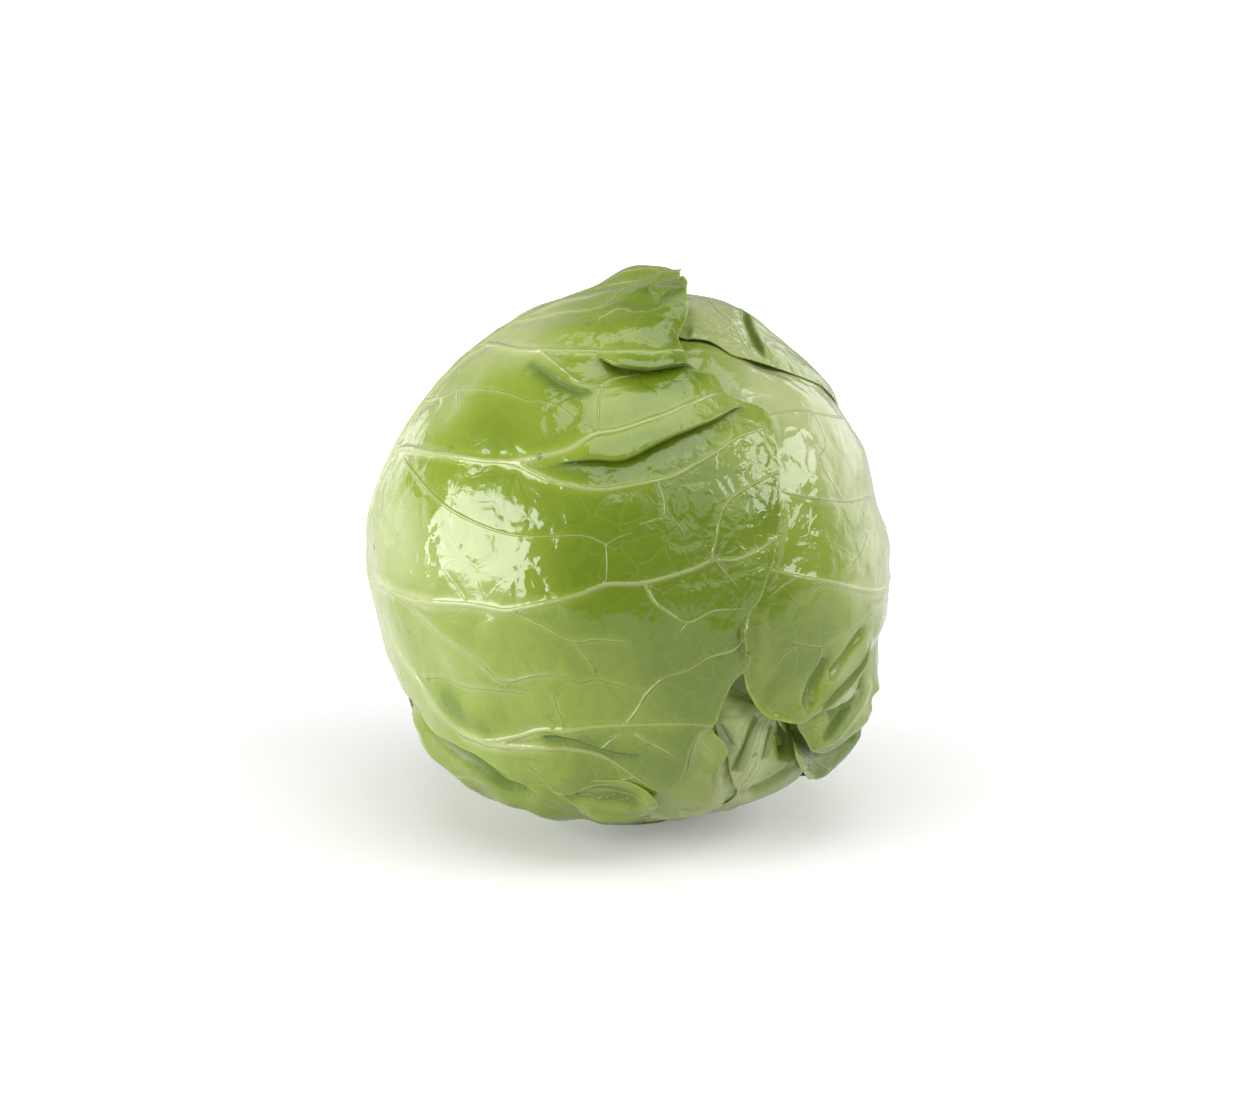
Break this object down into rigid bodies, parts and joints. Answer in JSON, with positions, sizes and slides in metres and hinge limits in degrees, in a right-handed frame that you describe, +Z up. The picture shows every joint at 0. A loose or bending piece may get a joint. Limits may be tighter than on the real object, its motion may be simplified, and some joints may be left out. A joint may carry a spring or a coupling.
{
  "type": "cabbage head",
  "caption": "Round head of green cabbage: ribbed wrapper leaves folded over one another round a packed heart, standing on its flat cut stem.",
  "frame": {"origin": "middle of the head's footprint, on the surface that it stands on", "axes": "+Z up through the tip of the head, the longest way through it; -Y towards the side where the front leaf closes over the right-hand leaf; +X to the right of that view"},
  "size_m": [0.1634, 0.1622, 0.1691],
  "materials": {
    "outer_leaf": "waxy green leaf with paler ribs, satin to glossy",
    "inner_leaf": "paler green leaf, satin",
    "heart": "pale yellow-green leaf, satin",
    "stem": "cream cut stem, matt and fibrous"
  },
  "bodies": {
    "root": {"wrapper_leaf_front": "outer_leaf", "wrapper_leaf_lower_left": "outer_leaf", "wrapper_leaf_back": "outer_leaf", "wrapper_leaf_right": "outer_leaf", "wrapper_leaf_lower_front": "outer_leaf", "wrapper_leaf_lower_right": "outer_leaf", "wrapper_leaf_inner_right": "inner_leaf", "wrapper_leaf_inner_lower": "inner_leaf", "wrapper_leaf_inner_front": "inner_leaf", "heart": "heart", "stem_stump": "stem"}
  },
  "joints": []
}
